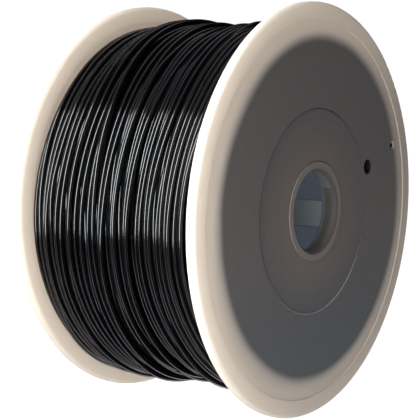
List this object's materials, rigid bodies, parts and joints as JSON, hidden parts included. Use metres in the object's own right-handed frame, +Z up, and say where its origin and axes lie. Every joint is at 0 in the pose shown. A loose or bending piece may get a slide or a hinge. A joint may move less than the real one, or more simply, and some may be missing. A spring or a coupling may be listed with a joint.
{
  "type": "filament spool",
  "caption": "Full spool of thick printing filament: two frosted flanges on a drum, snapped together by a hub with an open spindle bore, with the strand wound between them.",
  "frame": {"origin": "on the spool's axis, half way between the two flanges' outer faces", "axes": "+Y along the axis from the front flange to the rear one, +Z up with the spool standing on its rims, +X to the right seen from the front"},
  "size_m": [0.232, 0.122, 0.232],
  "materials": {
    "frosted_plastic": "frosted, slightly translucent, fine moulded grain",
    "drum_plastic": "frosted, slightly translucent",
    "hub_plastic": "frosted, slightly translucent, rounded mouth",
    "filament": "glossy extruded strand"
  },
  "bodies": {
    "root": {"front_flange": "frosted_plastic", "rear_flange": "frosted_plastic", "drum": "drum_plastic", "front_hub": "hub_plastic", "rear_hub": "hub_plastic", "filament_winding": "filament", "filament_start": "filament", "filament_end": "filament"}
  },
  "joints": []
}
